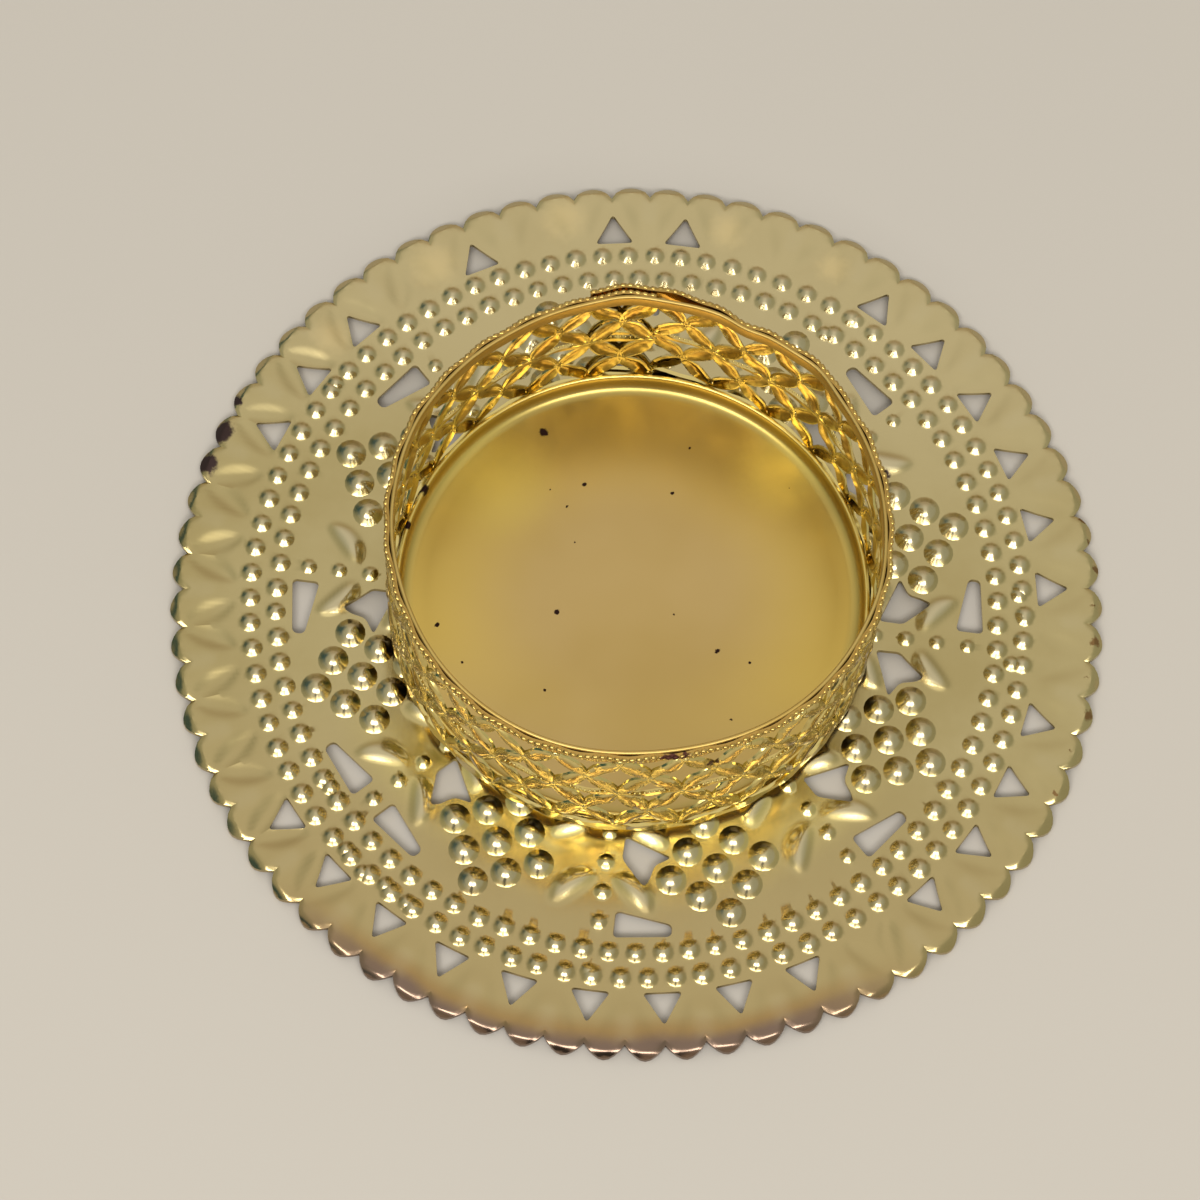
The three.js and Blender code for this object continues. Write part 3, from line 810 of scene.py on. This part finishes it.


# darker metal in the hollows: partly patina where handling has not rubbed it bright, partly painted
# shade
def hollowed(tree, cloud, s, colour):
    bright = node(tree, "ShaderNodeAttribute", -1000, 600, attribute_name="wearAndShade").outputs["Fac"]
    extra = sums(tree, -950, 750, "MULTIPLY", cloud, giltSettings["cloudShift"])
    bright = sums(tree, -800, 600, "ADD", bright, extra)
    hollow = ramp(tree, -600, 600, bright, *giltSettings["hollowEdge"])
    pit = ramp(tree, -600, 750, bright, *giltSettings["pitEdge"])
    colour = blendColour(tree, -300, 400, hollow, s["hollows"], colour)
    return blendColour(tree, -150, 400, pit, s["pits"], colour)


def marked(tree, place, grain, s, colour, rough):
    wobble = sums(tree, -950, -500, "SUBTRACT", grain, 0.5)
    wobble = sums(tree, -800, -500, "MULTIPLY", wobble, s["wobble"] * mm)
    # painted reflections: soft patches of another colour
    if "paintedReflections" in s:
        reflection = s["paintedReflections"]
        mask = spots(tree, -900, -3600, place, reflection["marks"], wobble, giltSettings["reflectionCore"])
        mask = sums(tree, 100, 500, "MULTIPLY", mask, reflection["amount"])
        colour = blendColour(tree, 180, 300, mask, colour, reflection["colour"])
    for key, y in (("burns", -1100), ("flecks", -1600), ("specks", -2400)):
        if key in s:
            mask = spots(tree, -900, y, place, s[key]["marks"], wobble, giltSettings["spotCore"])
            colour = blendColour(tree, 250, 200, mask, colour, s[key]["colour"])
            dull = sums(tree, 100, -300, "MULTIPLY", mask, giltSettings["markRough"])
            rough = sums(tree, 250, -100, "MAXIMUM", rough, dull)
    return colour, rough


def giltMaterial(name, s):
    material = bpy.data.materials.new(name)
    material.use_nodes = True
    tree = material.node_tree
    tree.nodes.clear()
    out = node(tree, "ShaderNodeOutputMaterial", 1400, 0)
    shader = node(tree, "ShaderNodeBsdfPrincipled", 1100, 0, Metallic=1.0)
    wire(tree, shader.outputs[0], out.inputs[0])
    place = node(tree, "ShaderNodeTexCoord", -1200, 0).outputs["Object"]
    marks = node(tree, "ShaderNodeGroup", -1000, 300)
    marks.node_tree = handling
    marks.inputs["Cloud Scale"].default_value = s["cloudScale"]
    marks.inputs["Cloud Detail"].default_value = s.get("cloudDetail", giltSettings["cloudDetail"])
    marks.inputs["Grain Scale"].default_value = s["grainScale"]
    marks.inputs["Swell Scale"].default_value = s["swellScale"]
    cloud, grain, scratch = (marks.outputs[key] for key in ("Cloud", "Grain", "Scratch"))
    colour = blendColour(tree, -600, 300, cloud, s["light"], s["deep"])
    rough = ramp(tree, -600, -100, cloud, 0.0, 1.0, *s["rough"])
    scuff = sums(tree, -600, -250, "MULTIPLY", scratch, s["scratchRough"])
    rough = sums(tree, -400, -100, "ADD", rough, scuff)
    if "stainsAndPaintedLight" in s:
        colour, rough = paintStainsAndLight(tree, place, cloud, s, colour, rough)
    if "hollows" in s:
        colour = hollowed(tree, cloud, s, colour)
    if "wobble" in s:
        colour, rough = marked(tree, place, grain, s, colour, rough)
    swell = node(tree, "ShaderNodeBump", 500, -600, Strength=s["swell"],
                 Distance=giltSettings["swellDepth"] * mm)
    wire(tree, marks.outputs["Swell"], swell.inputs["Height"])
    bump = node(tree, "ShaderNodeBump", 700, -400, Strength=s["bump"],
                Distance=giltSettings["grainDepth"] * mm)
    wire(tree, swell.outputs[0], bump.inputs["Normal"])
    groove = sums(tree, 100, -500, "MULTIPLY", scratch, s["scratchBump"])
    wire(tree, sums(tree, 300, -500, "SUBTRACT", grain, groove), bump.inputs["Height"])
    wire(tree, bump.outputs[0], shader.inputs["Normal"])
    wire(tree, colour, shader.inputs["Base Color"])
    wire(tree, rough, shader.inputs["Roughness"])
    return material


# stainsAndPaintedLight: from and to are distances from the middle, frontFrom and frontTo places on
# the y axis
# marks: place across, back and up, then size
saucerFinish = {
    "light": (0.469, 0.381, 0.18), "deep": (0.41, 0.323, 0.138), "cloudScale": 60.0,
    "grainScale": 900.0, "rough": (0.165, 0.21), "scratchRough": 0.02, "scratchBump": 0.2,
    "bump": 0.1, "swell": 0.48, "swellScale": 150.0, "wobble": 1.6,
    "tintCentre": (0.0, 0.0), "tintDrift": 0.9,
    "stainsAndPaintedLight": [
        # the front ground warmer and a little darker
        {"from": 18.0, "to": 22.0, "frontFrom": -6.0, "frontTo": -30.0, "amount": 1.0,
         "colour": (0.436, 0.336, 0.15)},
        # painted light: the back ground painted lighter, most near the cup where its shade falls
        {"from": 18.0, "to": 22.0, "frontFrom": 8.0, "frontTo": 27.0, "amount": 0.6,
         "colour": (0.53, 0.435, 0.23)},
        # painted reflection: the gallery band's yellow painted on the ground in front of the cup, a
        # little rougher
        {"from": 28.0, "to": 22.0, "frontFrom": -9.0, "frontTo": -19.0, "amount": 0.9,
         "colour": (0.66, 0.535, 0.19), "rough": 0.035},
        {"from": 36.2, "to": 38.0, "frontFrom": -27.0, "frontTo": -35.0, "amount": 0.9,
         "colour": (0.36, 0.225, 0.085)},
        {"from": 37.6, "to": 39.0, "frontFrom": -28.0, "frontTo": -36.0, "amount": 0.85,
         "colour": (0.19, 0.13, 0.105)},
    ],
    "crests": {"from": 1.15, "to": 1.4, "amount": 0.75,             # bead tops painted paler: partly wear, partly painted highlight
               "colour": (0.54, 0.465, 0.285)},
    # painted reflections: pale tan patches on the back flange
    "paintedReflections": {"colour": (0.64, 0.5, 0.24), "amount": 0.7, "marks": [
        (-10.7, 35.6, 1.0, 2.4), (-21.5, 29.6, 1.0, 2.6), (3.7, 36.3, 1.0, 2.0),
        (-29.5, 21.5, 1.0, 2.2), (13.5, 34.0, 1.0, 1.8)]},
    "burns": {"colour": (0.06, 0.038, 0.034), "marks": [
        (-36.9, 14.6, 0.8, 0.6), (-37.6, 11.4, 0.8, 1.1), (-38.4, 8.4, 0.8, 1.0),
        (20.0, 15.0, 1.0, 0.5)]},
    "flecks": {"colour": (0.22, 0.13, 0.05), "marks": [
        (39.0, 8.6, 0.9, 0.4), (38.6, 5.1, 0.9, 0.3), (39.2, 1.9, 0.8, 0.45),
        (38.7, -1.6, 0.9, 0.35), (39.0, -4.9, 0.8, 0.5), (38.1, 10.9, 0.9, 0.35),
        (38.0, -8.6, 0.9, 0.3), (37.3, 13.2, 0.9, 0.4), (36.9, -12.4, 0.9, 0.3)]},
}
panFinish = {
    "light": (0.51, 0.352, 0.135), "deep": (0.47, 0.318, 0.105), "cloudScale": 45.0,
    "cloudDetail": 3.0, "grainScale": 1600.0, "rough": (0.285, 0.32), "scratchRough": 0.0,
    "scratchBump": 0.0, "bump": 0.015, "swell": 0.04, "swellScale": 150.0, "wobble": 0.7,
    "tintCentre": (-0.6, 0.0), "tintDrift": 0.2,
    "stainsAndPaintedLight": [
        # painted reflection: the gold of the wall and band painted round the floor, away from the
        # front
        {"from": 7.0, "to": 18.5, "frontFrom": -16.0, "frontTo": -4.0, "amount": 0.85,
         "colour": (0.63, 0.435, 0.095)},
        # painted reflection: the band's dark brown reflection painted on the back of the floor
        {"from": 9.0, "to": 16.0, "frontFrom": 6.0, "frontTo": 15.0, "amount": 0.85,
         "colour": (0.29, 0.2, 0.06)},
        # painted shade in the rounded corner between floor and wall
        {"from": 18.4, "to": 19.2, "amount": 0.7, "colour": (0.43, 0.32, 0.09)},
        {"from": 19.4, "to": 19.7, "amount": 0.9, "colour": (0.8, 0.6, 0.18)},    # the wall painted bright: painted light over its shade
    ],
    # painted reflections: lemon glows of the gallery band on the floor
    "paintedReflections": {"colour": (0.68, 0.51, 0.12), "amount": 0.7, "marks": [
        (-13.8, 9.5, 2.66, 6.0), (10.9, 13.5, 2.66, 5.0)]},
    "specks": {"colour": (0.03, 0.014, 0.012), "marks": [
        (-9.9, 14.3, 2.66, 0.42), (-5.8, 9.9, 2.66, 0.22), (-7.1, 7.7, 2.66, 0.13),
        (1.8, 10.1, 2.66, 0.12), (2.8, 14.5, 2.66, 0.09), (11.7, 11.9, 2.66, 0.08),
        (-8.7, 9.1, 2.66, 0.08), (-6.0, 4.5, 2.66, 0.09), (-19.4, 7.0, 4.1, 0.6),
        (-20.35, 3.5, 4.3, 0.4), (-6.8, -2.0, 2.66, 0.22), (-16.7, -4.5, 2.66, 0.18),
        (-14.2, -7.6, 2.66, 0.13), (-6.9, -9.2, 2.66, 0.15), (7.2, -3.8, 2.66, 0.26),
        (9.0, -9.8, 2.66, 0.14), (10.0, -4.5, 2.66, 0.1), (-1.7, -3.3, 2.66, 0.08),
        (3.1, -1.0, 2.66, 0.09)]},
}
bandFinish = {
    "light": (0.73, 0.6, 0.235), "deep": (0.6, 0.47, 0.155), "cloudScale": 260.0,
    "grainScale": 2500.0, "rough": (0.12, 0.22), "scratchRough": 0.03, "scratchBump": 0.1,
    "bump": 0.1, "swell": 0.28, "swellScale": 800.0, "wobble": 1.2,
    # hollows and pits: darker colour in the dished petal middles and on the head rail, partly
    # patina and partly painted shade
    "hollows": (0.48, 0.315, 0.085), "pits": (0.46, 0.28, 0.07),
    "burns": {"colour": (0.09, 0.035, 0.025), "marks": [
        (4.5, -19.65, 19.2, 0.55), (3.8, -19.85, 19.2, 0.4), (5.4, -19.45, 19.25, 0.35),
        (7.9, -18.7, 15.6, 0.7), (-20.6, -5.9, 17.0, 0.5)]},
}
hoopFinish = {
    "light": (0.57, 0.4, 0.125), "deep": (0.5, 0.335, 0.09), "cloudScale": 120.0,
    "grainScale": 1800.0, "rough": (0.4, 0.48), "scratchRough": 0.0, "scratchBump": 0.0,
    "bump": 0.08, "swell": 0.02, "swellScale": 150.0,
}
solderFinish = {
    "light": (0.5, 0.5, 0.49), "deep": (0.36, 0.36, 0.36), "cloudScale": 300.0,
    "grainScale": 1500.0, "rough": (0.4, 0.6), "scratchRough": 0.05, "scratchBump": 0.2,
    "bump": 0.3, "swell": 0.1, "swellScale": 300.0,
}
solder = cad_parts["solder_pad"]
for piece, name, finish in ((sheet, "saucerGilt", saucerFinish), (pan, "panGilt", panFinish),
                            (band, "bandGilt", bandFinish), (hoop, "hoopGilt", hoopFinish),
                            (solder, "softSolder", solderFinish)):
    piece.data.materials.clear()
    piece.data.materials.append(giltMaterial(name, finish))
print("finishes on")


# floor, light and camera; a pair of numbers is where an effect starts and where it is full
studioSettings = {
    "floor": (0.49, 0.445, 0.385), "floorSize": 6, "floorCloud": 14.0, "floorDetail": 4.0,
    "floorShade": 0.97, "floorRough": 0.7,
    "zenith": (0.96, 0.95, 0.93), "horizon": (0.62, 0.53, 0.42), "skyRise": (0.05, 0.98),
    "sides": (0.54, 0.57, 0.51), "sideReach": (0.15, 0.8), "sideAmount": 0.85,
    "darkSide": (0.045, 0.125, 0.175), "darkLeft": (-0.4, -0.85), "darkLow": (0.5, 0.15),
    "ceiling": (1.5, 1.5, 1.47), "ceilingFront": (-0.12, -0.34), "ceilingUp": (0.8, 0.92),
    "mullion": (0.09, 0.09, 0.08), "mullionWidth": (0.22, 0.12), "mullionFront": (-0.3, -0.5),
    "mullionTop": (0.9, 0.8),
    "windows": [(-24.0, 50.0), (24.0, 50.0)],      # degrees round from the front, degrees up
    "windowAway": 0.75, "windowSize": (0.36, 0.22), "windowWatts": 2.0,
}


def floorMaterial(s):
    material = bpy.data.materials.new("paleFloor")
    material.use_nodes = True
    tree = material.node_tree
    shader = tree.nodes["Principled BSDF"]
    place = node(tree, "ShaderNodeTexCoord", -800, 0)
    noise = node(tree, "ShaderNodeTexNoise", -600, 0, Scale=s["floorCloud"],
                 Detail=s["floorDetail"])
    wire(tree, place.outputs["Object"], noise.inputs["Vector"])
    darker = tuple(c * s["floorShade"] for c in s["floor"])
    tone = blendColour(tree, -300, 0, noise.outputs["Fac"], s["floor"], darker)
    wire(tree, tone, shader.inputs["Base Color"])
    shader.inputs["Roughness"].default_value = s["floorRough"]
    return material


def windowLamp(bearing, up, s):
    bearing, up = math.radians(bearing), math.radians(up)
    way = Vector((math.sin(bearing) * math.cos(up), -math.cos(bearing) * math.cos(up),
                  math.sin(up)))
    bpy.ops.object.light_add(type="AREA", location=way * s["windowAway"])
    lamp = bpy.context.object
    lamp.data.shape = "RECTANGLE"
    lamp.data.size, lamp.data.size_y = s["windowSize"]
    lamp.data.energy = s["windowWatts"]
    lamp.visible_camera = False
    lamp.rotation_euler = (-way).to_track_quat("-Z", "Y").to_euler()


def softRoom(s):
    world = bpy.data.worlds.new("softRoom")
    bpy.context.scene.world = world
    world.use_nodes = True
    tree = world.node_tree
    parted = node(tree, "ShaderNodeSeparateXYZ", -900, 0)
    way = node(tree, "ShaderNodeTexCoord", -1100, 0)
    wire(tree, way.outputs["Generated"], parted.inputs[0])
    x, y, z = parted.outputs
    sideways = sums(tree, -800, -50, "ABSOLUTE", x, 0.0)
    sky = blendColour(tree, -400, 100, ramp(tree, -700, 100, z, *s["skyRise"]),
                      s["horizon"], s["zenith"])
    aside = ramp(tree, -700, -50, sideways, *s["sideReach"], 0.0, s["sideAmount"])
    sky = blendColour(tree, -300, 50, aside, sky, s["sides"])
    dark = sums(tree, -400, -200, "MULTIPLY", ramp(tree, -700, -100, x, *s["darkLeft"]),
                ramp(tree, -700, -300, z, *s["darkLow"]))
    sky = blendColour(tree, -200, 0, dark, sky, s["darkSide"])
    above = sums(tree, -350, -800, "MULTIPLY", ramp(tree, -500, -800, y, *s["ceilingFront"]),
                 ramp(tree, -500, -900, z, *s["ceilingUp"]))
    sky = blendColour(tree, -150, -100, above, sky, s["ceiling"])     # pale, over the windows
    bar = sums(tree, -500, -500, "MULTIPLY", ramp(tree, -700, -500, sideways, *s["mullionWidth"]),
               ramp(tree, -700, -600, y, *s["mullionFront"]))
    bar = sums(tree, -350, -500, "MULTIPLY", bar, ramp(tree, -500, -650, z, *s["mullionTop"]))
    sky = blendColour(tree, -100, -50, bar, sky, s["mullion"])        # dark, between the windows
    wire(tree, sky, tree.nodes["Background"].inputs["Color"])


def studio(s):
    clearSelection()
    bpy.ops.mesh.primitive_plane_add(size=s["floorSize"], location=(0, 0, 0))
    floor = named("floor")
    floor.data.materials.append(floorMaterial(s))
    for bearing, up in s["windows"]:
        windowLamp(bearing, up, s)
    softRoom(s)


studio(studioSettings)
print("studio lit")

cameraSettings = {
    "elevation": 68.805, "azimuth": 2.4, "roll": 4.666, "distance": 398.68,
    "focal": 4656.07, "image": 1200,               # in pixels of the photograph
    "aim": (-3.28, 0.157, 1.0), "sensor": 36.0, "clip": (0.01, 10),
}


def photoCamera(s):
    data = bpy.data.cameras.new("photoCamera")
    camera = bpy.data.objects.new("photoCamera", data)
    bpy.context.scene.collection.objects.link(camera)
    data.sensor_width = s["sensor"]
    data.lens = s["focal"] * s["sensor"] / s["image"]
    data.clip_start, data.clip_end = s["clip"]
    turned = Matrix.Rotation(math.radians(s["azimuth"]), 4, "Z")
    turned = turned @ Matrix.Rotation(math.radians(90 - s["elevation"]), 4, "X")
    back = Matrix.Translation((0, 0, s["distance"] * mm))
    roll = Matrix.Rotation(math.radians(s["roll"]), 4, "Z")
    camera.matrix_world = Matrix.Translation(Vector(s["aim"]) * mm) @ turned @ back @ roll
    bpy.context.scene.camera = camera


photoCamera(cameraSettings)
bpy.context.scene.view_settings.view_transform = "Standard"
